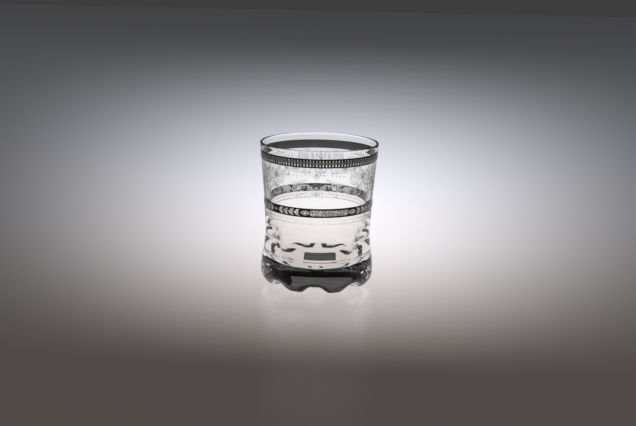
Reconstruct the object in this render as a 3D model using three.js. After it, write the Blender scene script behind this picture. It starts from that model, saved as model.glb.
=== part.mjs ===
// A lowball glass: a flared tumbler pressed in one piece with a heavy, fluted foot, two bands of
// fired platinum film round its wall, and a small paper label under its base.
// Sizes are in millimetres. The glass stands on the plane z = 0, and the Z axis is its own axis.
import * as THREE from "three";

// Outside of the tumbler
const HEIGHT = 100;
const RIM_RADIUS = 41;
const WAIST_INSET = 3.8; // how far the waist stands in from the rim
const WAIST_RADIUS = RIM_RADIUS - WAIST_INSET;
const WAIST_HEIGHT = 42;
const FLARE_POWER = 1.4; // 1 is a straight cone from waist to rim
const SWELL_TOP = 38; // the wall runs straight from here up to the waist
const SWELL_INSET = 0.4; // how far the widest part of the foot stands in from the rim
const SWELL_RADIUS = RIM_RADIUS - SWELL_INSET;
const SWELL_HEIGHT = 10.5;

// Inside of the tumbler
const LIP_THICKNESS = 1.7;
const BOWL_INSET = 8.2; // how far the bottom of the bowl's wall stands in from the waist
const BOWL_RADIUS = WAIST_RADIUS - BOWL_INSET;
const BOWL_POWER = 0.8; // less than 1 makes the wall thicken quickly towards the base
const BOWL_CORNER_HEIGHT = 21.8; // where the wall starts to turn in to the floor
const BOWL_CORNER_SQUARENESS = 2; // 2 is a quarter of an ellipse, and more is a tighter corner
const CORNER_REACH = 6; // how far the floor's flat stands in from the bowl's wall
const FLOOR_RADIUS = BOWL_RADIUS - CORNER_REACH;
const FLOOR_HEIGHT = 15.8;

// Fluted foot: a ring of feet with arches between them, round a flat punt
const LOBES = 8;
const FOOT_INSET = 10.6; // how far the ring of feet stands in from the widest part
const FOOT_RADIUS = SWELL_RADIUS - FOOT_INSET;
const FOOT_PAD_WIDTH = 3;
const FOOT_PAD_SHARE = 0.18; // share of a lobe's turn over which its pad is flat
const ARCH_FLAT_SHARE = 0.15; // share of a lobe's turn over which its arch is level
const ARCH_HEIGHT = 5;
const ARCH_LIP = 6;
const FLUTE_DEPTH = 0.9;
const FLUTE_BELOW_BAND = 6;
const PUNT_RADIUS = 19.5;
const PUNT_HEIGHT = 3;

// Fired film
const FILM_THICKNESS = 0.2;
const UPPER_BAND_BELOW_RIM = 5.2;
const UPPER_BAND_WIDTH = 6.1;
const LOWER_BAND_BELOW_RIM = 38.9;
const LOWER_BAND_WIDTH = 6.2;

// Paper label
const LABEL_LENGTH = 26.5;
const LABEL_WIDTH = 14;
const LABEL_CORNER = 1.2;
const LABEL_THICKNESS = 0.15;
const LABEL_CENTRE = new THREE.Vector2(1.5, -0.8);

// Fineness of the faceting
const STEPS_PER_LOBE = 12;
const TURN_STEPS = LOBES * STEPS_PER_LOBE;

const GLASS = { color: 0xe6eae8, roughness: 0.03, metalness: 0, transparent: true, opacity: 0.35 };
const PLATINUM = { color: 0x8c8c8a, roughness: 0.22, metalness: 1 };
const PAPER = { color: 0x74706f, roughness: 0.7, metalness: 0 };

const upperBand = bandSpan(UPPER_BAND_BELOW_RIM, UPPER_BAND_WIDTH);
const lowerBand = bandSpan(LOWER_BAND_BELOW_RIM, LOWER_BAND_WIDTH);
const fluteTop = lowerBand.bottom - FLUTE_BELOW_BAND;

function bandSpan(belowRim, width) {
  const top = HEIGHT - belowRim;
  return { bottom: top - width, top };
}

function smooth(from, to, value) {
  return THREE.MathUtils.smoothstep(value, from, to);
}

function spaced(from, to, steps) {
  return Array.from({ length: steps + 1 }, (_, i) => THREE.MathUtils.lerp(from, to, i / steps));
}

// Radius of the wall's outside at a height, before the flutes are pressed in: level at the waist,
// flaring to the rim above it and swelling to the foot below it.
function wallRadius(height) {
  if (height > WAIST_HEIGHT) {
    const rise = (height - WAIST_HEIGHT) / (HEIGHT - LIP_THICKNESS / 2 - WAIST_HEIGHT);
    return WAIST_RADIUS + (RIM_RADIUS - WAIST_RADIUS) * rise ** FLARE_POWER;
  }
  const swell = 1 - smooth(SWELL_HEIGHT, SWELL_TOP, height);
  return WAIST_RADIUS + (SWELL_RADIUS - WAIST_RADIUS) * swell;
}

// Radius of the bowl's inside at a height, above its rounded corner.
function bowlRadius(height) {
  const rise = (height - BOWL_CORNER_HEIGHT) / (HEIGHT - LIP_THICKNESS / 2 - BOWL_CORNER_HEIGHT);
  const mouth = RIM_RADIUS - LIP_THICKNESS;
  return BOWL_RADIUS + (mouth - BOWL_RADIUS) * Math.max(rise, 0) ** BOWL_POWER;
}

// How far a direction round the axis is from the middle of a foot to the middle of an arch, 0 to 1.
function archShare(turn) {
  const lobe = (2 * Math.PI) / LOBES;
  const fromArch = Math.abs(turn / lobe - Math.round(turn / lobe)) * 2;
  return 1 - smooth(ARCH_FLAT_SHARE, 1 - FOOT_PAD_SHARE, fromArch);
}

// A place on the outside is given twice, as [radius, height] on a foot and in an arch.
function underside() {
  const padInside = FOOT_RADIUS - FOOT_PAD_WIDTH / 2;
  const slope = spaced(0, 1, 4).map((t) => {
    const radius = THREE.MathUtils.lerp(PUNT_RADIUS, padInside, t);
    const drop = smooth(0, 1, t);
    return {
      foot: [radius, PUNT_HEIGHT * (1 - drop)],
      arch: [radius, THREE.MathUtils.lerp(PUNT_HEIGHT, ARCH_HEIGHT, drop)],
    };
  });
  return [{ foot: [0, PUNT_HEIGHT], arch: [0, PUNT_HEIGHT] }, ...slope];
}

// The toe turns up from the pad to the swell in a quarter of an ellipse, and the arch's lip likewise.
function toe() {
  const padOutside = FOOT_RADIUS + FOOT_PAD_WIDTH / 2;
  const lipOutside = SWELL_RADIUS - FLUTE_DEPTH;
  const quarter = (from, to, turn) => [
    from[0] + (to[0] - from[0]) * Math.sin(turn),
    to[1] - (to[1] - from[1]) * Math.cos(turn),
  ];
  return spaced(0, Math.PI / 2, 6).map((turn) => ({
    foot: quarter([padOutside, 0], [SWELL_RADIUS, SWELL_HEIGHT], turn),
    arch: quarter([lipOutside - ARCH_LIP, ARCH_HEIGHT], [lipOutside, SWELL_HEIGHT], turn),
  }));
}

function side() {
  const lipStart = HEIGHT - LIP_THICKNESS / 2;
  const levels = [
    ...spaced(SWELL_HEIGHT, fluteTop, 9).slice(1),
    lowerBand.bottom,
    lowerBand.top,
    ...spaced(lowerBand.top, upperBand.bottom, 3).slice(1, -1),
    upperBand.bottom,
    upperBand.top,
    lipStart,
  ];
  return levels.map((height) => {
    const depth = FLUTE_DEPTH * (1 - smooth(SWELL_HEIGHT, fluteTop, height));
    const radius = wallRadius(height);
    return { foot: [radius, height], arch: [radius - depth, height] };
  });
}

function plain(radius, height) {
  return { foot: [radius, height], arch: [radius, height] };
}

// The lip is a half round from the wall's outside to its inside.
function lip() {
  const round = LIP_THICKNESS / 2;
  const turns = spaced(0, Math.PI, 4).slice(1);
  return turns.map((turn) =>
    plain(RIM_RADIUS - round + round * Math.cos(turn), HEIGHT - round + round * Math.sin(turn)),
  );
}

// The bowl's wall, its corner as a quarter of a superellipse, and its flat floor out to the axis. The
// wall's levels lie closer together towards the corner, where it curves most.
function bowl() {
  const wallDepth = HEIGHT - LIP_THICKNESS / 2 - BOWL_CORNER_HEIGHT;
  const wall = spaced(1, 0, 8)
    .slice(1)
    .map((t) => BOWL_CORNER_HEIGHT + wallDepth * t * t)
    .map((height) => plain(bowlRadius(height), height));
  const depth = BOWL_CORNER_HEIGHT - FLOOR_HEIGHT;
  const corner = spaced(0, Math.PI / 2, 7)
    .slice(1)
    .map((turn) => {
      const across = Math.max(Math.cos(turn), 0) ** (2 / BOWL_CORNER_SQUARENESS);
      const down = Math.sin(turn) ** (2 / BOWL_CORNER_SQUARENESS);
      const radius = FLOOR_RADIUS + (BOWL_RADIUS - FLOOR_RADIUS) * across;
      return plain(radius, BOWL_CORNER_HEIGHT - depth * down);
    });
  return [...wall, ...corner, plain(0, FLOOR_HEIGHT)];
}

// A lathe turns about Y and starts on +Z. Once stood up it turns about Z and starts on -Y.
function stoodUp(geometry) {
  return geometry.rotateX(Math.PI / 2);
}

// The tumbler is turned from its foot outline, and each place is then moved towards its arch outline.
function tumblerGeometry() {
  const stations = [...underside(), ...toe(), ...side(), ...lip(), ...bowl()];
  const outline = stations.map((s) => new THREE.Vector2(...s.foot));
  const lathe = new THREE.LatheGeometry(outline, TURN_STEPS);
  const position = lathe.getAttribute("position");
  for (let i = 0; i < position.count; i++) {
    const { foot, arch } = stations[i % stations.length];
    const turn = (Math.floor(i / stations.length) / TURN_STEPS) * 2 * Math.PI;
    const share = archShare(turn);
    const radius = THREE.MathUtils.lerp(foot[0], arch[0], share);
    const height = THREE.MathUtils.lerp(foot[1], arch[1], share);
    position.setXYZ(i, radius * Math.sin(turn), height, radius * Math.cos(turn));
  }
  return stoodUp(lathe);
}

// A band of film follows the wall it is fired on to, and stands proud of it by its own thickness.
function bandGeometry({ bottom, top }) {
  const low = wallRadius(bottom);
  const high = wallRadius(top);
  const outline = [
    new THREE.Vector2(low, bottom),
    new THREE.Vector2(low + FILM_THICKNESS, bottom),
    new THREE.Vector2(high + FILM_THICKNESS, top),
    new THREE.Vector2(high, top),
    new THREE.Vector2(low, bottom),
  ];
  return stoodUp(new THREE.LatheGeometry(outline, TURN_STEPS));
}

function labelGeometry() {
  const x = LABEL_LENGTH / 2;
  const y = LABEL_WIDTH / 2;
  const sheet = new THREE.Shape();
  sheet.moveTo(x, y - LABEL_CORNER);
  sheet.absarc(x - LABEL_CORNER, y - LABEL_CORNER, LABEL_CORNER, 0, Math.PI / 2);
  sheet.absarc(LABEL_CORNER - x, y - LABEL_CORNER, LABEL_CORNER, Math.PI / 2, Math.PI);
  sheet.absarc(LABEL_CORNER - x, LABEL_CORNER - y, LABEL_CORNER, Math.PI, 1.5 * Math.PI);
  sheet.absarc(x - LABEL_CORNER, LABEL_CORNER - y, LABEL_CORNER, 1.5 * Math.PI, 2 * Math.PI);
  return new THREE.ExtrudeGeometry(sheet, {
    depth: LABEL_THICKNESS,
    bevelEnabled: false,
    curveSegments: 4,
  });
}

function piece(name, geometry, material) {
  const mesh = new THREE.Mesh(geometry, new THREE.MeshStandardMaterial(material));
  mesh.name = name;
  return mesh;
}

const glass = new THREE.Group();
glass.add(piece("tumbler", tumblerGeometry(), GLASS));
glass.add(piece("upper_band", bandGeometry(upperBand), PLATINUM));
glass.add(piece("lower_band", bandGeometry(lowerBand), PLATINUM));

// The label is stuck to the flat of the punt, facing down.
const label = piece("base_label", labelGeometry(), PAPER);
label.position.set(LABEL_CENTRE.x, LABEL_CENTRE.y, PUNT_HEIGHT - LABEL_THICKNESS);
glass.add(label);

export default glass;
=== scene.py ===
"""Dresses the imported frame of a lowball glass: clear pressed glass on a fluted foot, two bands of fired
platinum, acid-etched ornament, a paper label under the base, and a pale studio floor to stand on.
Everything is in metres, in the frame of the CAD part: +Z up the axis of the glass, -Y to the viewer."""

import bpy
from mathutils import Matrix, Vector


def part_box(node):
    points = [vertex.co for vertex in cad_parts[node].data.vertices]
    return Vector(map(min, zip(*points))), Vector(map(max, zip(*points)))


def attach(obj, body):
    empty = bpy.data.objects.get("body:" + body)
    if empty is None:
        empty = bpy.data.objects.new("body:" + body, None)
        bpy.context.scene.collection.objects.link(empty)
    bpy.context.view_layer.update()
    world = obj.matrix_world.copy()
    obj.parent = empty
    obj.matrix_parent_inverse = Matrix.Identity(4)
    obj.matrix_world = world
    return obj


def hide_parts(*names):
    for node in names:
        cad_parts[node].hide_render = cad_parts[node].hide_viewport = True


bl_info = {
    "name": "Lowball Glass",
    "version": (1, 0, 0),
    "blender": (4, 5, 0),
    "location": "3D View > Sidebar > Lowball Glass",
    "description": "Builds a lowball glass with platinum bands and etched ornament on its packed frame",
    "category": "Object",
}

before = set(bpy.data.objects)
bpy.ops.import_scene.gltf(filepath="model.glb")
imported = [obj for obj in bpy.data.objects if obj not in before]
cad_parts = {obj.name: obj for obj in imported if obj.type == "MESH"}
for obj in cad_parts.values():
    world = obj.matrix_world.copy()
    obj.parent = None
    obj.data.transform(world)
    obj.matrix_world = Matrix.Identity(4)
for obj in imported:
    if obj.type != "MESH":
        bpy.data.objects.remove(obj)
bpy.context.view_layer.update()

from math import cos, pi, radians, sin

import bpy
import numpy as np
from bpy.props import FloatProperty, FloatVectorProperty, IntProperty, PointerProperty
from mathutils import Matrix, Vector

MM = 0.001
TUMBLER_LOW, TUMBLER_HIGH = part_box("tumbler")
UPPER_LOW, UPPER_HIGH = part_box("upper_band")
LOWER_LOW, LOWER_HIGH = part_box("lower_band")
LABEL_LOW, LABEL_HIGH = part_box("base_label")


# Sizes and colours that a user would change


def setting(kind, **limits):
    """A short way to declare properties of one kind: a name, a description and a default."""

    def declare(name, description, default, **more):
        return kind(name=name, description=description, default=default, **{**limits, **more})

    return declare


size = setting(FloatProperty, min=0, unit="LENGTH", precision=5)
slant = setting(FloatProperty, subtype="ANGLE")
number = setting(FloatProperty)
copies = setting(IntProperty)
share = setting(FloatProperty, min=0, max=1)
colour = setting(FloatVectorProperty, min=0, max=1, subtype="COLOR")


class GlassSizes(bpy.types.PropertyGroup):
    height: size("Height", "From the ground to the top of the lip", TUMBLER_HIGH.z)
    rim_radius: size("Rim radius", "Outside of the wall at the lip", TUMBLER_HIGH.x)
    waist_radius: size("Waist radius", "Outside of the wall where it is narrowest", 37.2 * MM)
    waist_height: size("Waist height", "Where the flare to the rim starts", 42 * MM)
    flare_power: number("Flare", "1 is a straight cone up to the rim", 1.4)
    swell_radius: size("Swell radius", "Outside at the widest part of the foot", 40.6 * MM)
    swell_height: size("Swell height", "Height of the widest part of the foot", 10.5 * MM)
    swell_top: size("Swell top", "Where the swell has died away into the wall", 38 * MM)
    lip_thickness: size("Lip thickness", "The wall at the half-round lip", 1.7 * MM)
    bowl_radius: size("Bowl radius", "Inside of the wall at the bottom of the bowl", 29 * MM)
    bowl_power: number("Bowl flare", "1 is a straight cone", 0.8)
    corner_height: size("Corner height", "Where the bowl's wall turns in to its floor", 21.8 * MM)
    corner_squareness: number("Corner squareness", "2 is a quarter of an ellipse", 2.0)
    floor_radius: size("Floor radius", "The flat of the bowl's floor", 23 * MM)
    floor_height: size("Floor height", "The bowl's floor above the ground", 15.8 * MM)
    lobes: copies("Lobes", "Feet round the base, with an arch between each two", 8)
    foot_radius: size("Foot radius", "The middle of the pads that the glass stands on", 30 * MM)
    pad_width: size("Pad width", "How wide each pad is from inside to outside", 3 * MM)
    pad_share: share("Pad share", "Share of a lobe over which its pad is flat", 0.18)
    arch_share: share("Arch share", "Share of a lobe over which its arch is level", 0.15)
    arch_height: size("Arch height", "The arches between the feet", 5 * MM)
    arch_lip: size("Arch lip", "How far the arch's lip turns in under the swell", 6 * MM)
    flute_depth: size("Flute depth", "How deep the flutes are pressed in at the swell", 0.9 * MM)
    flute_top: size("Flute top", "Where the flutes have died away", LOWER_LOW.z - 6 * MM)
    punt_radius: size("Punt radius", "The flat under the middle of the base", 19.5 * MM)
    punt_height: size("Punt height", "The punt above the ground", 3 * MM)
    columns: copies("Columns", "Faces round the glass", 384)


class BandSizes(bpy.types.PropertyGroup):
    film: size("Film", "How far the raised marks stand proud of the wall", 0.19 * MM)
    bed: size("Bed", "How deep the film bites into the wall", 0.02 * MM)
    upper_bottom: size("Upper band bottom", "Lower edge of the band under the rim", UPPER_LOW.z)
    upper_top: size("Upper band top", "Upper edge of the band under the rim", UPPER_HIGH.z)
    lower_bottom: size("Lower band bottom", "Lower edge of the band at the middle", LOWER_LOW.z)
    lower_top: size("Lower band top", "Upper edge of the band at the middle", LOWER_HIGH.z)
    teeth: copies("Teeth", "Marks round the upper band", 120)
    panels: copies("Panels", "Dotted panels round the lower band", 3)
    panel_turn: slant("Panel turn", "Where the first panel is, from the front", radians(14))
    leaf_pitch: size("Leaf pitch", "From one pair of wreath leaves to the next", 4.2 * MM)


class EtchingSizes(bpy.types.PropertyGroup):
    line: size("Line", "Width of an etched line", 0.48 * MM)
    depth: size("Depth", "How far the etched skin reaches to each side of the wall", 0.02 * MM)
    repeats: copies("Repeats", "Times the frieze comes round", 3)
    scroll_radius: size("Scroll radius", "Outer radius of the large scrolls", 5.4 * MM)
    scroll_height: size("Scroll height", "Centre of the large scrolls", 81 * MM)
    lace_pitch: size("Lace pitch", "From ring to ring in the lace strip", 2.1 * MM)
    lace_drop: size("Lace drop", "How far the lace strip hangs below the lower band", 5.4 * MM)


class LabelSizes(bpy.types.PropertyGroup):
    corner: size("Corner", "Radius of the label's corners", 1.2 * MM)
    bed: size("Bed", "How deep the gummed side bites into the punt", 0.02 * MM)


class Finishes(bpy.types.PropertyGroup):
    glass: colour("Glass", "Tint of the glass", (0.989, 0.988, 0.972))
    toe_roughness: share("Toe roughness", "How much the mould's skin blurs the outside of the foot", 0.03)
    # Painted shade: far darker than platinum is, standing in for the dark surroundings that the burnished
    # film mirrors.
    bright_film: colour("Bright film", "Burnished platinum", (0.09, 0.09, 0.092))
    matte_film: colour("Matte film", "Raised matte marks on the platinum", (0.36, 0.36, 0.348))
    under_film: colour("Under film", "The film's underside, seen through the glass", (0.85, 0.85, 0.87))
    etched: colour("Etched", "Roughened skin of the glass", (0.86, 0.865, 0.87))
    etched_roughness: share("Etched roughness", "How strongly the etched skin scatters light", 0.34)
    frost: share("Frost", "How white the etched skin's outside is", 0.8)
    passing: share("Passing", "Share of the frosted skin's light that it lets through", 0.65)
    paper: colour("Paper", "The label", (0.76, 0.74, 0.745))


class StageSettings(bpy.types.PropertyGroup):
    camera_distance: size("Camera distance", "Along the ground, from the axis of the glass", 0.5704)
    camera_height: size("Camera height", "Above the ground", 0.19297)
    camera_turn: slant("Camera turn", "From straight in front, to the right", radians(2))
    camera_tilt: slant("Camera tilt", "Down", radians(14.18))
    camera_roll: slant("Camera roll", "To the side", radians(1.22))
    lens: number("Lens", "Focal length in millimetres, on a 36 mm sensor", 47.16)
    pool_distance: size("Pool distance", "From the axis to where the pool is laid out from", 0.5704)
    pool_height: size("Pool height", "Height of that place above the ground", 0.19297)
    # The floor's pool of light and its shade are painted into its glow; the floor is no lamp.
    floor_light: share("Floor light", "Brightness of the lit floor", 0.92)
    floor_shade: share("Floor shade", "Brightness of the unlit floor", 0.048)
    room_shade: share("Room shade", "Brightness of the unlit room", 0.001)
    top_light: share("Top light", "Brightness of the soft light overhead", 0.04, max=20)
    window_light: share("Window light", "Brightness of the soft light behind the viewer", 0.45, max=20)
    window_height: share("Window height", "Rise on the way to that light, for one along", 0.6, max=3)
    key_light: share("Key light", "Watts of the wide soft light above the camera", 12.0, max=1000)


class LowballGlass(bpy.types.PropertyGroup):
    glass: PointerProperty(type=GlassSizes, name="Glass", description="Sizes of the tumbler")
    bands: PointerProperty(type=BandSizes, name="Bands", description="Sizes of the platinum bands")
    etching: PointerProperty(type=EtchingSizes, name="Etching", description="Sizes of the ornament")
    label: PointerProperty(type=LabelSizes, name="Label", description="Sizes of the label")
    finishes: PointerProperty(type=Finishes, name="Finishes", description="Colours")
    stage: PointerProperty(type=StageSettings, name="Stage", description="Camera, floor and light")


# Surfaces


def smooth(start, stop, value):
    """0 before start, 1 after stop, and 3 t squared - 2 t cubed between them."""
    t = np.clip((value - start) / (stop - start), 0, 1)
    return t * t * (3 - 2 * t)


def mesh_of(name, points, faces, smooth_faces=True, marks=None):
    """A mesh from an array of points, a list of arrays of faces (each array holds faces with the same
    number of corners) and, by name, values that go with the points."""
    mesh = bpy.data.meshes.new(name)
    mesh.vertices.add(len(points))
    mesh.vertices.foreach_set("co", np.ascontiguousarray(points, np.float32).ravel())
    corners = np.concatenate([f.ravel() for f in faces]).astype(np.int32)
    counts = np.concatenate([np.full(len(f), f.shape[1]) for f in faces])
    starts = np.concatenate([[0], np.cumsum(counts)[:-1]]).astype(np.int32)
    mesh.loops.add(len(corners))
    mesh.loops.foreach_set("vertex_index", corners)
    mesh.polygons.add(len(counts))
    mesh.polygons.foreach_set("loop_start", starts)
    mesh.update(calc_edges=True)
    mesh.polygons.foreach_set("use_smooth", np.full(len(counts), smooth_faces))
    for mark, values in (marks or {}).items():
        layer = mesh.attributes.new(mark, "FLOAT", "POINT")
        layer.data.foreach_set("value", np.ascontiguousarray(values, np.float32).ravel())
    if mesh.validate():
        raise RuntimeError(f"{name}: the mesh had faults")
    return mesh


def grid_faces(rows, columns, wrap_rows, wrap_columns):
    """Quads of a grid of points numbered row by row. A wrapped direction joins up with its start."""
    r, c = np.indices((rows - 1 + wrap_rows, columns - 1 + wrap_columns))
    next_r, next_c = (r + 1) % rows, (c + 1) % columns
    corners = [r * columns + c, next_r * columns + c, next_r * columns + next_c, r * columns + next_c]
    return np.stack(corners, -1).reshape(-1, 4)


def turned_mesh(name, grid, low_end, high_end):
    """A closed mesh from columns of points, side by side right round the axis. A fan of triangles to
    low_end closes their first points and one to high_end their last."""
    columns, stations = grid.shape[:2]
    points = np.concatenate([grid.reshape(-1, 3), [low_end, high_end]])
    below, above = len(points) - 2, len(points) - 1
    column = np.arange(columns)
    start, after = column * stations, (column + 1) % columns * stations
    low_cap = np.stack([0 * column + below, after, start], -1)
    high_cap = np.stack([start + stations - 1, after + stations - 1, 0 * column + above], -1)
    return mesh_of(name, points, [grid_faces(columns, stations, True, False), low_cap, high_cap])


def new_object(data):
    """An object in the scene, named as its mesh, light or camera is."""
    obj = bpy.data.objects.new(data.name, data)
    bpy.context.scene.collection.objects.link(obj)
    return obj


def piece(mesh, material, node=None):
    """Puts a finished mesh in the scene. It rides on the part's one body."""
    mesh.materials.append(material)
    obj = new_object(mesh)
    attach(obj, "root")
    if node:
        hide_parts(node)


def around(radius, turn, height):
    """A point at a radius, a turn about the axis (0 at the front, growing to the right) and a height."""
    radius, turn, height = np.broadcast_arrays(radius, turn, height)
    return np.stack([radius * np.sin(turn), -radius * np.cos(turn), height], -1)


def even_turns(count, offset=0.0):
    """Turns at even steps right round the axis."""
    return (np.arange(count) + offset) * 2 * pi / count


def wall_radius(g, height):
    """Outside of the wall without its flutes: the waist's radius, plus a power of the rise from the waist
    to the lip, plus a swell that dies away smoothly between the widest part of the foot and the waist."""
    rise = np.clip((height - g.waist_height) / (g.height - g.lip_thickness / 2 - g.waist_height), 0, None)
    swell = 1 - smooth(g.swell_height, g.swell_top, height)
    flare = (g.rim_radius - g.waist_radius) * rise**g.flare_power
    return g.waist_radius + flare + (g.swell_radius - g.waist_radius) * swell


def glass_outlines(g):
    """Two outlines as arrays of [radius, height], station for station from the middle of the underside
    to the middle of the bowl's floor: one cut through a foot and one through an arch. A part that goes on
    from the end of another leaves out its first station."""

    def level(shares, radius, height):
        return np.stack([shares * radius, 0 * shares + height], -1)

    punt = level(np.linspace(0.1, 0.9, 4), g.punt_radius, g.punt_height)
    t = np.linspace(0, 1, 15)
    pad_inside = g.foot_radius - g.pad_width / 2
    radius = g.punt_radius + (pad_inside - g.punt_radius) * t
    drop = smooth(0, 1, t)
    under_foot = np.stack([radius, g.punt_height * (1 - drop)], -1)
    under_arch = np.stack([radius, g.punt_height + (g.arch_height - g.punt_height) * drop], -1)

    # The toe turns up to the swell as a quarter of an ellipse, and so does the arch's lip.
    turn = np.linspace(0, pi / 2, 26)[:, None]
    reach = np.concatenate([np.sin(turn), 1 - np.cos(turn)], 1)

    def quarter(low, high):
        return low + (np.array(high) - low) * reach

    lip_outside = g.swell_radius - g.flute_depth
    toe_foot = quarter([g.foot_radius + g.pad_width / 2, 0], [g.swell_radius, g.swell_height])
    toe_arch = quarter([lip_outside - g.arch_lip, g.arch_height], [lip_outside, g.swell_height])

    half = g.lip_thickness / 2
    lip_start = g.height - half
    fluted = np.linspace(g.swell_height, g.flute_top, 38)[1:]
    height = np.concatenate([fluted, np.linspace(g.flute_top, lip_start, 40)[1:]])
    depth = g.flute_depth * (1 - smooth(g.swell_height, g.flute_top, height))
    side_foot = np.stack([wall_radius(g, height), height], -1)
    side_arch = side_foot - np.stack([depth, 0 * depth], -1)

    turn = np.linspace(0, pi, 12)[1:]
    lip = np.stack([g.rim_radius - half + half * np.cos(turn), lip_start + half * np.sin(turn)], -1)

    rise = np.linspace(1, 0, 48)[1:] ** 2
    height = g.corner_height + (lip_start - g.corner_height) * rise
    mouth = g.rim_radius - g.lip_thickness
    wall = np.stack([g.bowl_radius + (mouth - g.bowl_radius) * rise**g.bowl_power, height], -1)

    turn = np.linspace(0, pi / 2, 42)[1:]
    power = 2 / g.corner_squareness
    radius = g.floor_radius + (g.bowl_radius - g.floor_radius) * np.clip(np.cos(turn), 0, 1) ** power
    height = g.corner_height - (g.corner_height - g.floor_height) * np.sin(turn) ** power
    corner = np.stack([radius, height], -1)
    floor = level(np.linspace(0.85, 0.1, 5), g.floor_radius, g.floor_height)
    inside = np.concatenate([lip, wall, corner, floor])
    foot = np.concatenate([punt, under_foot, toe_foot, side_foot, inside])
    arch = np.concatenate([punt, under_arch, toe_arch, side_arch, inside])
    return foot, arch


def arch_share(g, turn):
    """How far a turn about the axis is from the middle of a foot, 0, to the middle of an arch, 1."""
    lobe = turn * g.lobes / (2 * pi)
    from_arch = np.abs(lobe - np.round(lobe)) * 2
    return 1 - smooth(g.arch_share, 1 - g.pad_share, from_arch)


def tumbler_mesh(g):
    """The outline through a foot and the outline through an arch, turned about the axis and mixed by how
    near each turn is to an arch. A point on the axis closes each end."""
    foot, arch = glass_outlines(g)
    turn = even_turns(g.columns)[:, None]
    mix = arch_share(g, turn)[..., None]
    outline = foot * (1 - mix) + arch * mix
    grid = around(outline[..., 0], turn, outline[..., 1])
    return turned_mesh("tumbler_glass", grid, [0, 0, g.punt_height], [0, 0, g.floor_height])


def band_mesh(name, g, b, turns, heights, pattern):
    """A ring of film. The pattern is a function of turn and height, from 0, bright, to 1, matte. The
    outside follows the wall, 0.3 of the film's height proud of it where it is bright and all of it where
    it is matte, and thins out along both edges. The underside lies just within the wall."""
    turn, height = turns[:, None], heights[None]
    matte = pattern(turn, height)
    thin_edge = 0.12 * MM
    edge = np.minimum(height - heights[0], heights[-1] - height) / thin_edge
    proud = b.film * (0.3 + 0.7 * matte) * np.clip(edge, 0.15, 1)
    outside = around(wall_radius(g, height) + proud, turn, height)
    under_height = heights[::-1][:: max(1, len(heights) // 12)]
    under_height = np.append(under_height[:-1], heights[0])[None]
    under = around(wall_radius(g, under_height) - b.bed, turn, under_height)
    points = np.concatenate([outside, under], 1)
    under_matte = pattern(turn, under_height)
    marks = {
        "matte": np.concatenate([matte, under_matte], 1),
        "underside": np.concatenate([0 * matte, 0 * under_matte + 1], 1),
    }
    mesh = mesh_of(name, points.reshape(-1, 3), [grid_faces(*points.shape[:2], True, True)], marks=marks)
    mesh.set_sharp_from_angle(angle=radians(50))
    return mesh


def tooth_turns(teeth):
    """Turns of the columns of the upper band: eight to a tooth, close together at the tooth's edges."""
    steps = np.array([0.0, 0.05, 0.19, 0.33, 0.47, 0.52, 0.68, 0.84])
    return ((np.arange(teeth)[:, None] + steps).ravel() - 0.26) * 2 * pi / teeth


def tooth_heights(b):
    """Heights of the rows of points of the upper band: close together where a row of teeth starts or
    ends and along the zigzag line."""
    low = [0, 0.12, 0.6, 0.7, 0.95, 1.3, 2, 2.3, 2.5, 2.65, 2.8, 2.95]
    high = [3.1, 3.25, 3.4, 3.55, 3.7, 3.85, 4.1, 4.8, 5, 5.1, 5.2, 5.98, 6.1]
    marks = np.array(low + high)
    return b.upper_bottom + marks / marks[-1] * (b.upper_top - b.upper_bottom)


def tooth_pattern(b):
    """Upper band, from below: a bright edge, a row of teeth, a zigzag line, a row of shorter teeth and a
    bright edge. A tooth is narrower at its ends. Heights are in millimetres and widths in teeth."""

    def pattern(turn, height):
        up = (height - b.upper_bottom) / MM
        along = turn * b.teeth / (2 * pi)
        across = np.abs((along + 0.5) % 1 - 0.5)

        def row(low, high, tone):
            full = smooth(low, low + 0.5, up) * smooth(high, high - 0.5, up)
            width = 0.08 + 0.17 * full
            return tone * smooth(width + 0.04, width - 0.04, across) * (up > low) * (up < high)

        zigzag = np.abs(up - 3.15 - 0.9 * (across - 0.25))
        line = 0.5 * smooth(0.34, 0.22, zigzag)
        return np.maximum(np.maximum(row(0.65, 2.6, 1.0), row(3.75, 5.15, 0.85)), line)

    return pattern


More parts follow.
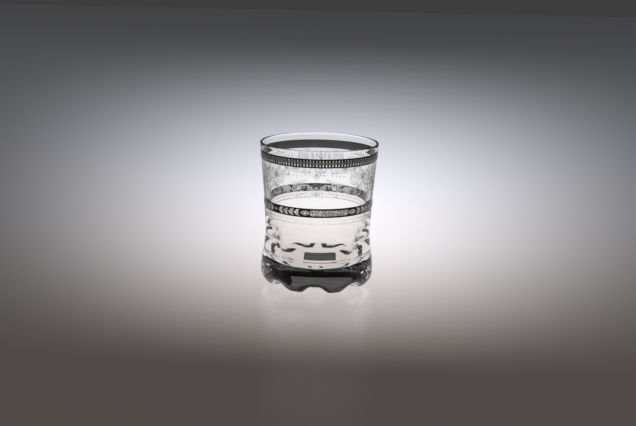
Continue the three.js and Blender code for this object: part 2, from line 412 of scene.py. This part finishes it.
def wreath_pattern(g, b):
    """Lower band: between two bright, scalloped edges, dotted panels with an oval leaf at each end, and
    pairs of laurel leaves that point to the panels from a berry."""
    middle = (b.lower_bottom + b.lower_top) / 2
    radius = float(wall_radius(g, middle))
    period = 2 * pi * radius / b.panels
    soft = 0.09 * MM
    panel_end, oval_middle, first_leaf = 13.2 * MM, 16.6 * MM, 24.2 * MM
    scallop_pitch, dot_pitch, row_pitch, dot_radius = 2.5 * MM, 2.1 * MM, 1.15 * MM, 0.42 * MM

    def inside(distance):
        return smooth(soft, -soft, distance)

    def leaf(along, across, length, width):
        """A leaf from 0 to length: as wide as a sine of the way along, with a bright midrib."""
        part = np.clip(along / length, 0, 1)
        edge = np.abs(across) - width * np.sin(pi * part**0.85) ** 0.8
        body = inside(edge) * (along > 0) * (along < length)
        return body * (1 - 0.75 * inside(np.abs(across) - 0.07 * MM))

    def pattern(turn, height):
        arc = radius * (turn - b.panel_turn)
        arc = (arc + period / 2) % period - period / 2
        out = np.abs(arc)
        up = height - middle + 0 * arc
        scallop = 1.62 * MM + 0.4 * MM * np.abs(np.sin(pi * out / scallop_pitch))
        row = np.round(up / row_pitch)
        dot_x = (out / dot_pitch + 0.5 * (row % 2) + 0.5) % 1 - 0.5
        dot = np.hypot(dot_x * dot_pitch, up - row * row_pitch)
        dotted = 0.9 - 0.75 * inside(dot - dot_radius)
        panel = inside(out - panel_end) * dotted * inside(np.abs(up) - scallop)
        oval = np.hypot((out - oval_middle) / 2.9, up / 1.6)
        ring = inside((oval - 1.0 * MM) * 2) * (1 - 0.8 * inside(np.abs(oval - 0.62 * MM) - 0.12 * MM))
        best = np.maximum(panel, ring)
        within = inside(np.abs(up) - 2.2 * MM)
        for step in range(4):
            base = first_leaf + step * b.leaf_pitch - out
            for angle in (radians(31), radians(-31)):
                along = base * cos(angle) + up * sin(angle)
                across = -base * sin(angle) + up * cos(angle)
                best = np.maximum(best, leaf(along, across, 4.9 * MM, 0.85 * MM) * within)
            best = np.maximum(best, leaf(base + 0.6 * MM, up, 4.4 * MM, 0.55 * MM))
        berry = inside(np.hypot(out - period / 2, up) - 0.8 * MM)
        return np.maximum(best, berry)

    return pattern


# Etched ornament: every line, leaf and dot is a thin ribbon laid along the wall


def ribbons(g, lines, widths, depth, reference, closed=False):
    """Ribbons along lines on the unrolled wall. lines is (ribbons, stations, 2), as arc length at the
    reference radius and height, and widths is (ribbons, stations). A ribbon reaches half its width to
    each side of its line and depth to each side of the wall's surface. Returns points and faces."""
    ahead = np.roll(lines, -1, 1) - np.roll(lines, 1, 1)
    if not closed:
        ahead[:, 0], ahead[:, -1] = lines[:, 1] - lines[:, 0], lines[:, -1] - lines[:, -2]
    ahead /= np.linalg.norm(ahead, axis=-1, keepdims=True) + 1e-12
    side = np.stack([-ahead[..., 1], ahead[..., 0]], -1) * widths[..., None] / 2
    left, right = lines + side, lines - side
    flat = np.stack([left, right, right, left], 2)
    out = depth * np.array([1, 1, -1, -1])
    points = around(wall_radius(g, flat[..., 1]) + out, flat[..., 0] / reference, flat[..., 1])
    count, stations = lines.shape[:2]
    ring = grid_faces(stations, 4, closed, True)[:, [0, 3, 2, 1]]
    first = np.arange(count)[:, None, None] * stations * 4
    faces = [(first + ring).reshape(-1, 4)]
    if not closed:
        ends = np.array([[3, 2, 1, 0], np.arange(4) + (stations - 1) * 4])
        faces.append((first + ends).reshape(-1, 4))
    return points.reshape(-1, 3), np.concatenate(faces)


def scroll(centre, outer, inner, turns, start, way, stations):
    """A spiral whose radius falls evenly from outer to inner as it turns about its centre. It starts at
    an angle in degrees and turns anticlockwise, with 1 for its way, or clockwise, with -1."""
    t = np.linspace(0, 1, stations)
    angle = radians(start) + way * 2 * pi * turns * t
    radius = outer + (inner - outer) * t
    return np.stack([centre[0] + radius * np.cos(angle), centre[1] + radius * np.sin(angle)], -1)


def bend(a, b, c, d, stations=24):
    """A cubic curve from a to d that leaves towards b and arrives from c."""
    t = np.linspace(0, 1, stations)[:, None]
    a, b, c, d = (np.array(p, float) for p in (a, b, c, d))
    return a * (1 - t) ** 3 + 3 * b * t * (1 - t) ** 2 + 3 * c * t * t * (1 - t) + d * t**3


def straight(start, angle, length, stations=8):
    """Points along a straight line, from arrays of starts and angles."""
    t = np.linspace(0, 1, stations)[:, None]
    start, angle = np.atleast_2d(start), np.atleast_1d(angle)
    way = np.stack([np.cos(angle), np.sin(angle)], -1)[:, None]
    return start[:, None] + way * t * np.broadcast_to(length, len(start))[:, None, None]


def lens(count, stations, width):
    """Widths that swell from nearly nothing to width and back as a sine."""
    t = np.linspace(0, 1, stations)
    return np.tile(width * np.maximum(np.sin(pi * t), 0.06), (count, 1))


def disc(count, stations, width):
    """Widths that make a short straight ribbon a round dot: the root of 1 - t squared."""
    t = np.linspace(-1, 1, stations)
    return np.tile(width * np.sqrt(np.clip(1 - t * t, 0.01, 1)), (count, 1))


def frieze_lines(e):
    """Half of one repeat of the frieze, to the right of its middle, in millimetres on the unrolled wall.
    Returns families of (lines, widths); a family's ribbons all have the same number of stations."""
    line = e.line / MM
    big = e.scroll_radius / MM
    centre = np.array([26.4, e.scroll_height / MM])
    families = []

    def add(paths, width=line, taper=0.35):
        """Lines whose width is the root of a sine: it swells to full and thins to taper."""
        paths = np.stack(paths)
        t = np.linspace(0, 1, paths.shape[1])
        shape = taper + (1 - taper) * np.sin(pi * np.clip(t * 0.92 + 0.08, 0, 1)) ** 0.5
        families.append((paths, np.tile(width * shape, (len(paths), 1))))

    def bends(*curves, width=line):
        add([bend(*curve) for curve in curves], width)

    def scrolls(*spirals, stations=96):
        add([scroll(*spiral, stations) for spiral in spirals])

    def leaves(starts, angles, length, width):
        paths = straight(starts, angles, length)
        families.append((paths, lens(len(paths), paths.shape[1], width)))

    def dots(centres, radius):
        centres = np.atleast_2d(centres)
        paths = straight(centres - [radius, 0], 0, 2 * radius, 7)
        families.append((paths, disc(len(paths), 7, 2 * radius)))

    def petals(root, angles, lengths, width):
        """Outlined petals that fan out from a root, each with a midrib."""
        for angle, length in zip(np.radians(angles), lengths):
            way = np.array([cos(angle), sin(angle)])
            side = np.array([-way[1], way[0]]) * width
            tip = root + way * length
            low, high = root + 0.4 * length * way, tip - 0.3 * length * way
            bends(*((root, low + k * side, high + k * side, tip) for k in (1, -1)))
            leaves([root + way * 0.5], angle, 0.62 * length, 0.4)

    # Large scroll of two lines with its eye, and the arc that runs round its outside
    scrolls((centre, big, 1.3, 2.1, 118, -1), (centre, big - 0.95, 1.0, 1.7, 118, -1))
    scrolls((centre, big + 1.5, big + 1.2, 0.62, 80, -1), (centre, big + 2.9, big + 2.0, 0.5, 66, -1))
    dots([centre], 0.7)
    # Arch of two lines from the scroll over the middle, with leaves along it
    start = centre + big * np.array([cos(radians(118)), sin(radians(118))])
    bends(
        (start, start + [-4.5, 2.0], [7.5, 86.9], [0, 86.6]),
        (start + [0.3, -1.1], start + [-4.2, 0.6], [7.5, 85.7], [0, 85.3]),
    )
    t = np.linspace(0.1, 0.95, 6)
    root = np.stack([1.5 + 17 * t, 84.7 - 1.2 * t * t], -1)
    leaves(root, radians(-42) - 0.25 * t, 2.2, 0.75)
    petals([0, 85.0], [-90, -64, -40], [4.2, 3.6, 3.0], 0.7)
    # Sprig inside the arch
    bends(([19.4, 76.6], [15.0, 76.2], [9.5, 79.0], [6.0, 81.4]))
    t = np.linspace(0.06, 0.9, 6)
    root = np.stack([17.6 - 10.6 * t, 76.7 + 3.9 * t**1.6], -1)
    leaves(root, radians(104) + 0.5 * t, 2.5, 0.75)
    leaves(root, radians(196) - 0.2 * t, 2.1, 0.65)
    # Running ornament under it: palmettes that stand and hang by turns, with volutes between them
    petals([0, 69.9], [90, 60, 31, 6], [6.4, 6.0, 5.2, 4.4], 0.95)
    bends(([0, 69.2], [3.2, 68.4], [6.0, 69.0], [6.9, 71.0]), width=line * 1.2)
    scrolls(((9.4, 71.5), 2.5, 0.5, 1.7, 190, 1), ((27.4, 71.3), 2.4, 0.5, 1.7, 190, 1), stations=48)
    scrolls(((15.0, 73.5), 2.3, 0.5, 1.6, -90, -1), ((33.2, 73.2), 2.2, 0.5, 1.6, -90, -1), stations=48)
    dots([[9.4, 71.5], [15.0, 73.5], [27.4, 71.3], [33.2, 73.2]], 0.42)
    bends(
        ([9.6, 69.0], [12.0, 68.4], [13.2, 70.0], [15.0, 71.2]),
        ([27.6, 68.9], [30.2, 68.3], [31.2, 69.8], [33.2, 71.0]),
        width=line * 1.2,
    )
    bends(
        ([17.2, 73.0], [17.6, 76.4], [24.4, 76.6], [24.9, 72.2]),
        ([35.4, 72.8], [36.0, 70.6], [38.0, 69.6], [40.4, 69.4]),
    )
    petals([21.0, 75.4], [-90, -60, -120, -32, -148], [5.6, 5.2, 5.2, 3.8, 3.8], 0.85)
    for root in ([11.6, 73.4], [29.6, 73.2]):
        leaves([root] * 4, np.radians([128, 98, 68, 38]), [2.6, 3.4, 3.4, 2.4], 0.8)
    for root in ([12.6, 69.6], [30.4, 69.6]):
        leaves([root] * 3, np.radians([-66, -30, 4]), [1.6, 2.2, 2.2], 0.7)
    t = np.linspace(0, 1, 13)
    dots(np.stack([1.2 + 36.0 * t, 67.6 - 0.5 * np.cos(6 * pi * t)], -1), 0.32)
    # Wavy tendrils over the volutes, with a small volute of their own at each end
    bends(
        ([3.6, 76.2], [7.0, 79.0], [12.0, 73.8], [17.2, 77.0]),
        ([24.8, 76.4], [28.0, 78.4], [31.4, 73.6], [36.0, 76.6]),
    )
    scrolls(((4.4, 75.0), 1.5, 0.4, 1.3, 120, 1), ((37.0, 75.4), 1.4, 0.4, 1.3, 100, -1), stations=32)
    t = np.linspace(0.15, 0.85, 5)
    for start in (3.6, 24.8):
        root = np.stack([start + 12.6 * t, 76.5 - 0.5 * np.sin(2 * pi * t)], -1)
        leaves(root, radians(64), 2.0, 0.7)
        leaves(root, radians(-58), 1.5, 0.6)
    root = [[5.9, 72.2], [6.5, 70.6], [23.8, 70.4], [24.4, 69.2]]
    leaves(root, np.radians([100, 60, 120, 150]), 1.9, 0.7)
    # Column of leaves between two scrolls of neighbouring repeats, with wavy stems through it
    height = np.array([67.6, 70.6, 73.6, 76.6, 79.6, 82.6])
    leaves(np.stack([40.4 + 0 * height, height], -1), radians(122), 3.4, 1.0)
    leaves(np.stack([37.0 + 0 * height, height + 1.4], -1), radians(60), 2.4, 0.7)
    t = np.linspace(0, 1, 40)

    def stem(across, low, swing):
        return np.stack([across + swing * np.sin(3.5 * 2 * pi * t), low + (87.0 - low) * t], -1)

    add([stem(37.2, 66.4, 0.55), stem(40.3, 66.0, 0.2)], taper=0.8)
    add([stem(35.2, 76.2, 0.45)], taper=0.8)
    return families


def lace_lines(e, top, reference):
    """One strip of lace round the whole wall, in metres on the unrolled wall: short strokes under the
    band, rings with a dot in each, a scalloped edge and a dot below where two scallops meet. Returns
    families of (lines, widths, closed)."""
    wall = 2 * pi * reference
    count = int(round(wall / e.lace_pitch))
    pitch = wall / count
    x = np.arange(count) * wall / count
    between = x + 0.5 * pitch
    line = e.line * 0.8
    row = top - 0.4 * e.lace_drop
    ring, eye, drop = 0.5 * MM, 0.2 * MM, 0.42 * MM
    scallop, stroke = 1.35 * MM, 1.1 * MM
    families = []

    def add(height, shape, closed):
        starts = np.stack([x, 0 * x + height], -1)
        families.append((starts[:, None] + shape, np.full((count, len(shape)), line), closed))

    def dots(centres, height, radius):
        paths = straight(np.stack([centres - radius, 0 * x + height], -1), 0, 2 * radius, 5)
        families.append((paths, disc(count, 5, 2 * radius), False))

    turn = np.linspace(0, 2 * pi, 12, endpoint=False)
    add(row, ring * np.stack([np.cos(turn), np.sin(turn)], -1), True)
    dots(x, row, eye)
    dots(between, row - 2.5 * MM, drop)
    swing = np.linspace(pi, 2 * pi, 9)
    add(row - 1.5 * MM, np.stack([0.5 * pitch * np.cos(swing), scallop * np.sin(swing)], -1), False)
    paths = straight(np.stack([between, 0 * x + row + 1.95 * MM], -1), -pi / 2, stroke, 4)
    families.append((paths, np.full((count, 4), line * 0.9), False))
    return families


def etched_mesh(name, strips):
    """One mesh of many strips of ribbons, each (points, faces). Of the four points of each station, the
    first two are on the outside."""
    counts = np.cumsum([0] + [len(points) for points, _ in strips])
    points = np.concatenate([points for points, _ in strips])
    faces = np.concatenate([faces + count for (_, faces), count in zip(strips, counts)])
    outside = np.tile([1, 1, 0, 0], len(points) // 4)
    return mesh_of(name, points, [faces], smooth_faces=False, marks={"outside": outside})


def frieze_mesh(g, e):
    """Half a repeat and its mirror image, set round the wall at even turns. The wall is unrolled at the
    reference radius."""
    reference = 0.0388
    repeat = 2 * pi * reference / e.repeats
    strips = []
    for lines, widths in frieze_lines(e):
        for mirror in (1, -1):
            for step in range(e.repeats):
                placed = lines * MM * [mirror, 1] + [repeat * step, 0]
                strips.append(ribbons(g, placed, widths * MM, e.depth, reference))
    return etched_mesh("etched_frieze", strips)


def lace_mesh(g, e, b):
    """The strip of lace that hangs under the lower band."""
    reference = float(wall_radius(g, b.lower_bottom))
    strips = []
    for lines, widths, closed in lace_lines(e, b.lower_bottom, reference):
        strips.append(ribbons(g, lines, widths, e.depth, reference, closed))
    return etched_mesh("etched_lace", strips)


def label_mesh(s):
    """A sheet whose outline is a rectangle with rounded corners, drawn in to its middle in rings on its
    top and its bottom. The bottom waves by a few hundredths of a millimetre."""
    low, high = np.array(LABEL_LOW), np.array(LABEL_HIGH)
    middle, half = (low + high) / 2, (high - low) / 2
    turn = even_turns(128, 0.5)
    quarter = np.floor(turn / (pi / 2))
    right, back = np.sign(np.cos(turn)), np.sign(np.sin(turn))
    inner = half[:2] - s.corner
    # Each quarter of the turn runs down the short side, round the corner and along the long side.
    side, bend_share = 0.36, 0.28
    within = (turn - quarter * pi / 2) / (pi / 2)
    within = np.where((quarter % 2) == 0, within, 1 - within)
    along_y = np.clip(within / side, 0, 1)
    corner = np.clip((within - side) / bend_share, 0, 1) * pi / 2
    along_x = 1 - np.clip((within - side - bend_share) / side, 0, 1)
    x = right * (inner[0] * along_x + s.corner * np.cos(corner))
    y = back * (inner[1] * along_y + s.corner * np.sin(corner))
    rings = np.linspace(0.08, 1, 10)
    flat = np.stack([x, y], -1)[:, None] * rings[:, None]
    swing = 0.03 * MM
    wave = swing * (np.sin(flat[..., 0] * 520) * np.sin(flat[..., 1] * 610 + 1) + 1) * (1 - rings**6)
    spot, level = flat + middle[:2], high[2] + s.bed
    bottom, top = np.dstack([spot, low[2] + wave]), np.dstack([spot, 0 * wave + level])
    grid = np.concatenate([bottom, top[:, ::-1]], 1)
    low_end, high_end = [*middle[:2], low[2] + swing], [*middle[:2], level]
    mesh = turned_mesh("base_label_paper", grid, low_end, high_end)
    mesh.set_sharp_from_angle(angle=radians(40))
    return mesh


# Materials


class Value:
    """A socket's value in a material. Arithmetic on it adds Math nodes."""

    def __init__(self, recipe, socket):
        self.recipe, self.socket = recipe, socket

    def math(self, operation, *others):
        return self.recipe.math(operation, self, *others)

    def __add__(self, other):
        return self.math("ADD", other)

    __radd__ = __add__

    def __mul__(self, other):
        return self.math("MULTIPLY", other)

    __rmul__ = __mul__

    def __sub__(self, other):
        return self.math("SUBTRACT", other)

    def __rsub__(self, other):
        return self.recipe.math("SUBTRACT", other, self)

    def __truediv__(self, other):
        return self.math("DIVIDE", other)

    def __rtruediv__(self, other):
        return self.recipe.math("DIVIDE", other, self)

    def rise(self, start, stop):
        """0 before start and 1 after stop, smoothly."""
        inputs = {"Value": self, "From Min": start, "From Max": stop}
        return self.recipe.node("ShaderNodeMapRange", {"interpolation_type": "SMOOTHSTEP"}, inputs)


class Recipe:
    """The nodes of one material or world."""

    def __init__(self, owner):
        owner.use_nodes = True
        self.owner, self.tree = owner, owner.node_tree
        self.tree.nodes.clear()

    def node(self, kind, settings=None, inputs=None, output=0):
        """Adds a node, sets its settings (a ramp's stops among them), fills or links its sockets, and
        returns the value of one of its outputs."""
        node = self.tree.nodes.new(kind)
        for name, value in (settings or {}).items():
            if name == "stops":
                stops = node.color_ramp.elements
                stops[0].position, stops[0].color = value[0]
                stops[1].position, stops[1].color = value[-1]
                for position, tone in value[1:-1]:
                    stops.new(position).color = tone
            else:
                setattr(node, name, value)
        for name, value in (inputs or {}).items():
            if isinstance(value, Value):
                self.tree.links.new(value.socket, node.inputs[name])
            else:
                node.inputs[name].default_value = value
        return Value(self, node.outputs[output]) if node.outputs else None

    def math(self, operation, *values):
        return self.node("ShaderNodeMath", {"operation": operation}, dict(enumerate(values)))

    def place(self):
        """Object coordinates."""
        return self.node("ShaderNodeTexCoord", output="Object")

    def split(self, vector):
        """A vector's x, y and z."""
        x = self.node("ShaderNodeSeparateXYZ", {}, {"Vector": vector})
        return [Value(self, socket) for socket in x.socket.node.outputs]

    def mark(self, name):
        """A value that goes with the mesh's points."""
        return self.node("ShaderNodeAttribute", {"attribute_name": name}, output="Fac")

    def noise(self, place, scale, detail=2.0, roughness=0.5):
        inputs = {"Vector": place, "Scale": scale, "Detail": detail, "Roughness": roughness}
        return self.node("ShaderNodeTexNoise", {}, inputs)

    def mix(self, factor, a, b):
        """From colour a to colour b."""
        return self.node("ShaderNodeMix", {"data_type": "RGBA"}, {0: factor, 6: a, 7: b}, output=2)

    def bump(self, height, distance, strength=1.0):
        inputs = {"Height": height, "Distance": distance, "Strength": strength}
        return self.node("ShaderNodeBump", {}, inputs)

    def shader(self, **inputs):
        """A principled shader. An underscore in a socket's name stands for a space."""
        inputs = {name.replace("_", " "): value for name, value in inputs.items()}
        return self.node("ShaderNodeBsdfPrincipled", {}, inputs)

    def finish(self, shader, kind="Material"):
        """The finished material or world."""
        self.node("ShaderNodeOutput" + kind, {}, {"Surface": shader})
        return self.owner


def rgba(tone, times=1.0):
    return (*(c * times for c in tone), 1.0)


def clear_glass(f):
    """Pressed glass: clear, very slightly wavy, a little blurred by the mould on the outside of the foot,
    and ground matte where the pads touch the ground."""
    r = Recipe(bpy.data.materials.new("clear_glass"))
    place = r.place()
    x, y, height = r.split(place)
    worn = 1 - height.rise(0.02 * MM, 0.35 * MM)
    outside = (x * x + y * y).math("SQRT").rise(32 * MM, 35 * MM) * (1 - height.rise(12 * MM, 18 * MM))
    waves = r.noise(place, 55, 1.5) + 0.25 * r.noise(place, 240, 1.0)
    return r.finish(r.shader(
        Base_Color=rgba(f.glass),
        Roughness=0.4 * worn + f.toe_roughness * outside,
        IOR=1.5,
        Specular_Tint=(0.25, 0.25, 0.25, 1),
        Transmission_Weight=1.0,
        Normal=r.bump(waves, 0.05 * MM),
    ))


def fired_platinum(f):
    """Platinum film: burnished and nearly a mirror, painted much darker than platinum is, as shade for
    the dark room that it mirrors;
    matte and paler on its raised marks, and dull grey on its underside, where it was fired on to the
    glass."""
    r = Recipe(bpy.data.materials.new("fired_platinum"))
    place = r.place()
    matte, under = r.mark("matte"), r.mark("underside")
    grain = r.noise(place, 9000, 2.0, 0.6)
    cloud = r.noise(place, 320, 3.0)
    worn = r.noise(place, 620, 2.0, 0.6).rise(0.35, 0.65)
    # Painted shade: the burnished film's colour is darkened far below platinum's own, for the dark room
    # it mirrors.
    bright = r.mix(cloud, rgba(f.bright_film, 0.85), rgba(f.bright_film, 1.1))
    raised = r.mix(worn, rgba(f.matte_film, 0.45), rgba(f.matte_film, 1.3))
    face = r.mix(matte, bright, raised)
    back = r.mix(matte, rgba(f.under_film, 0.64), rgba(f.under_film, 1.17))
    rough = 0.13 + 0.05 * cloud + 0.42 * matte
    return r.finish(r.shader(
        Base_Color=r.mix(under, face, back),
        Roughness=rough + under * 0.25,
        Metallic=(1 - matte) * (1 - under),
        Normal=r.bump(grain * matte, 0.01 * MM, 0.6),
    ))


def acid_etched(f):
    """The skin of the glass roughened by acid: it blurs the light that passes through it, and its outside
    is a little frosted, so that it shows pale over the dark bands."""
    r = Recipe(bpy.data.materials.new("acid_etched"))
    place = r.place()
    grain = r.noise(place, 6000, 2.0, 0.6)
    tone = r.mix(grain, rgba(f.etched, 0.96), rgba(f.etched, 1.0))
    rough = f.etched_roughness + 0.12 * (grain - 0.5)
    clear = r.shader(Base_Color=tone, Roughness=rough, IOR=1.35, Transmission_Weight=1.0)
    frost = r.shader(Base_Color=tone, Roughness=rough + 0.5, IOR=1.15, Transmission_Weight=f.passing)
    inputs = {0: r.mark("outside") * f.frost, 1: clear, 2: frost}
    return r.finish(r.node("ShaderNodeMixShader", {}, inputs))


def label_paper(f):
    """Uncoated paper with fibres, and a few paler streaks."""
    r = Recipe(bpy.data.materials.new("label_paper"))
    place = r.place()
    mapping = {"Vector": place, "Location": (0.01, 0, 0), "Rotation": (0, 0, 0.12), "Scale": (1, 6, 1)}
    stretched = r.node("ShaderNodeMapping", {}, mapping)
    streaks = r.noise(stretched, 52, 2.5, 0.6).rise(0.5, 0.62)
    fibres = r.noise(stretched, 900, 4.0, 0.65)
    tone = r.mix(fibres, rgba(f.paper, 0.85), rgba(f.paper, 1.05))
    tone = r.mix(streaks * 0.75, tone, rgba(f.paper, 1.3))
    rough, nap = 0.7 + 0.15 * fibres, r.bump(fibres, 0.02 * MM, 0.5)
    return r.finish(r.shader(Base_Color=tone, Roughness=rough, Normal=nap))


def studio_floor(s):
    """A pale sweep with a painted pool of light: its glow, not a lamp, makes it bright in a soft pool and
    dim in front, far off and to the sides. It is laid out by how many degrees each place lies below the
    horizon of one fixed point, and how far aside. The point is 20 mm beside where the photograph was
    taken from, and it doesn't follow the camera."""
    r = Recipe(bpy.data.materials.new("studio_floor"))
    x, y, _ = r.split(r.place())
    away = (y + s.pool_distance).math("MAXIMUM", 0.02)
    below = r.math("ARCTAN2", s.pool_height, away) * (180 / pi)
    far_edge, near_edge = (2.07, 13.98), (14.56, 25.2)
    pool = below.rise(*far_edge) * (1 - below.rise(*near_edge))
    middle, lean, width = 0.0086, 0.0015, 0.279
    across = (x / away + middle - lean * below) / width
    fade = (across * across * -1.0).math("EXPONENT")
    # Painted light: the pool, its falloff, its tint and the dim shade round it are painted into the
    # floor's glow, not cast by a lamp.
    light = s.floor_shade * (1 + 0.4 * below.rise(-0.5, 4)) + s.floor_light * pool * fade
    tint = r.mix(below.rise(8, 29), (0.97, 0.985, 1.075, 1), (1.11, 0.955, 0.87, 1))
    lit = r.node("ShaderNodeVectorMath", {"operation": "SCALE"}, {0: tint, "Scale": light})
    black = (0.004, 0.004, 0.004, 1)
    return r.finish(r.shader(Base_Color=black, Roughness=0.22, Emission_Color=lit, Emission_Strength=1.0))


def studio_room(s):
    """The light from all round: nearly dark, with a haze along the ground, a soft light overhead and a
    soft window of light behind the camera's place."""
    r = Recipe(bpy.data.worlds.new("room"))
    place = r.node("ShaderNodeTexCoord", output="Generated")
    up = r.split(place)[2]
    tones = (s.floor_shade, s.room_shade, s.top_light, s.window_light)
    haze, shade, top, window = (rgba([tone] * 3) for tone in tones)
    stops = [(0.0, haze), (0.02, haze), (0.09, shade), (0.8, shade), (0.9, top), (1.0, top)]
    tone = r.node("ShaderNodeValToRGB", {"stops": stops}, {"Fac": up})
    towards = Vector((-sin(s.camera_turn), -cos(s.camera_turn), s.window_height)).normalized()
    ways = {0: place, 1: towards}
    near = r.node("ShaderNodeVectorMath", {"operation": "DOT_PRODUCT"}, ways, output="Value")
    tone = r.mix(near.rise(0.86, 0.95), tone, window)
    return r.finish(r.node("ShaderNodeBackground", {}, {"Color": tone}), "World")


# Operators


def chosen(context):
    return context.scene.lowball_glass


class LOWBALL_OT_tumbler(bpy.types.Operator):
    """Build the tumbler of clear pressed glass"""

    bl_idname = "lowball.tumbler"
    bl_label = "Tumbler"

    def execute(self, context):
        s = chosen(context)
        piece(tumbler_mesh(s.glass), clear_glass(s.finishes), "tumbler")
        return {"FINISHED"}


class LOWBALL_OT_bands(bpy.types.Operator):
    """Build the two bands of fired platinum"""

    bl_idname = "lowball.bands"
    bl_label = "Platinum Bands"

    def execute(self, context):
        s = chosen(context)
        g, b = s.glass, s.bands
        material = fired_platinum(s.finishes)
        turns, heights = tooth_turns(b.teeth), tooth_heights(b)
        mesh = band_mesh("upper_band_film", g, b, turns, heights, tooth_pattern(b))
        piece(mesh, material, "upper_band")
        turns, heights = even_turns(1200), np.linspace(b.lower_bottom, b.lower_top, 36)
        mesh = band_mesh("lower_band_film", g, b, turns, heights, wreath_pattern(g, b))
        piece(mesh, material, "lower_band")
        return {"FINISHED"}


class LOWBALL_OT_etching(bpy.types.Operator):
    """Etch the frieze between the bands and the lace under the lower one"""

    bl_idname = "lowball.etching"
    bl_label = "Etching"

    def execute(self, context):
        s = chosen(context)
        material = acid_etched(s.finishes)
        piece(frieze_mesh(s.glass, s.etching), material)
        piece(lace_mesh(s.glass, s.etching, s.bands), material)
        return {"FINISHED"}


class LOWBALL_OT_label(bpy.types.Operator):
    """Stick the blank label under the base"""

    bl_idname = "lowball.label"
    bl_label = "Label"

    def execute(self, context):
        s = chosen(context)
        piece(label_mesh(s.label), label_paper(s.finishes), "base_label")
        return {"FINISHED"}


class LOWBALL_OT_stage(bpy.types.Operator):
    """Lay the floor, light the room and set the camera where the photograph was taken from"""

    bl_idname = "lowball.stage"
    bl_label = "Stage"

    def execute(self, context):
        s, scene = chosen(context).stage, context.scene
        reach, level = 20, -0.05 * MM
        corners = [[x * reach, y * reach, level] for x, y in ((-1, -1), (1, -1), (1, 1), (-1, 1))]
        mesh = mesh_of("floor", np.array(corners), [np.array([[0, 1, 2, 3]])], smooth_faces=False)
        mesh.materials.append(studio_floor(s))
        new_object(mesh)
        scene.world = studio_room(s)

        # Only matte surfaces take the key light, so that it leaves no glare in the glass.
        lamp = bpy.data.lights.new("key_light", "AREA")
        lamp.shape, lamp.size, lamp.energy = "DISK", 0.5, s.key_light
        key = new_object(lamp)
        turn = Matrix.Rotation(s.camera_turn, 4, "Z")
        lean = Matrix.Rotation(radians(58), 4, "X")
        key.matrix_world = turn @ Matrix.Translation((0, -0.7, 0.5)) @ lean
        key.visible_glossy = key.visible_transmission = key.visible_camera = False

        optics = bpy.data.cameras.new("camera")
        optics.sensor_width, optics.lens, optics.clip_start, optics.clip_end = 36, s.lens, 0.01, 100
        scene.camera = new_object(optics)
        aside, back = s.camera_distance * sin(s.camera_turn), -s.camera_distance * cos(s.camera_turn)
        place = Matrix.Translation((aside, back, s.camera_height))
        tilt = Matrix.Rotation(pi / 2 - s.camera_tilt, 4, "X")
        scene.camera.matrix_world = place @ turn @ tilt @ Matrix.Rotation(s.camera_roll, 4, "Z")

        scene.view_settings.view_transform = "Standard"
        cycles = scene.cycles
        cycles.max_bounces = cycles.transmission_bounces = 20
        cycles.glossy_bounces = 8
        cycles.transparent_max_bounces = 16
        cycles.use_denoising = True
        return {"FINISHED"}


class LOWBALL_PT_sidebar(bpy.types.Panel):
    """What builds the glass, and its sizes and colours"""

    bl_idname = "LOWBALL_PT_sidebar"
    bl_label = "Lowball Glass"
    bl_space_type = "VIEW_3D"
    bl_region_type = "UI"
    bl_category = "Lowball Glass"

    def draw(self, context):
        s = chosen(context)
        for operator, group in (*OPERATORS, (None, "finishes")):
            if operator:
                self.layout.operator(operator.bl_idname)
            box = self.layout.box()
            for name in getattr(s, group).__annotations__:
                box.prop(getattr(s, group), name)


OPERATORS = (
    (LOWBALL_OT_tumbler, "glass"),
    (LOWBALL_OT_bands, "bands"),
    (LOWBALL_OT_etching, "etching"),
    (LOWBALL_OT_label, "label"),
    (LOWBALL_OT_stage, "stage"),
)
GROUPS = (GlassSizes, BandSizes, EtchingSizes, LabelSizes, Finishes, StageSettings, LowballGlass)
CLASSES = (*GROUPS, *(operator for operator, _ in OPERATORS), LOWBALL_PT_sidebar)


def register():
    for cls in CLASSES:
        bpy.utils.register_class(cls)
    bpy.types.Scene.lowball_glass = PointerProperty(type=LowballGlass)


def unregister():
    del bpy.types.Scene.lowball_glass
    for cls in reversed(CLASSES):
        bpy.utils.unregister_class(cls)


def main():
    register()
    bpy.ops.lowball.stage()
    bpy.ops.lowball.tumbler()
    bpy.ops.lowball.bands()
    bpy.ops.lowball.etching()
    bpy.ops.lowball.label()


if __name__ == "__main__":
    main()
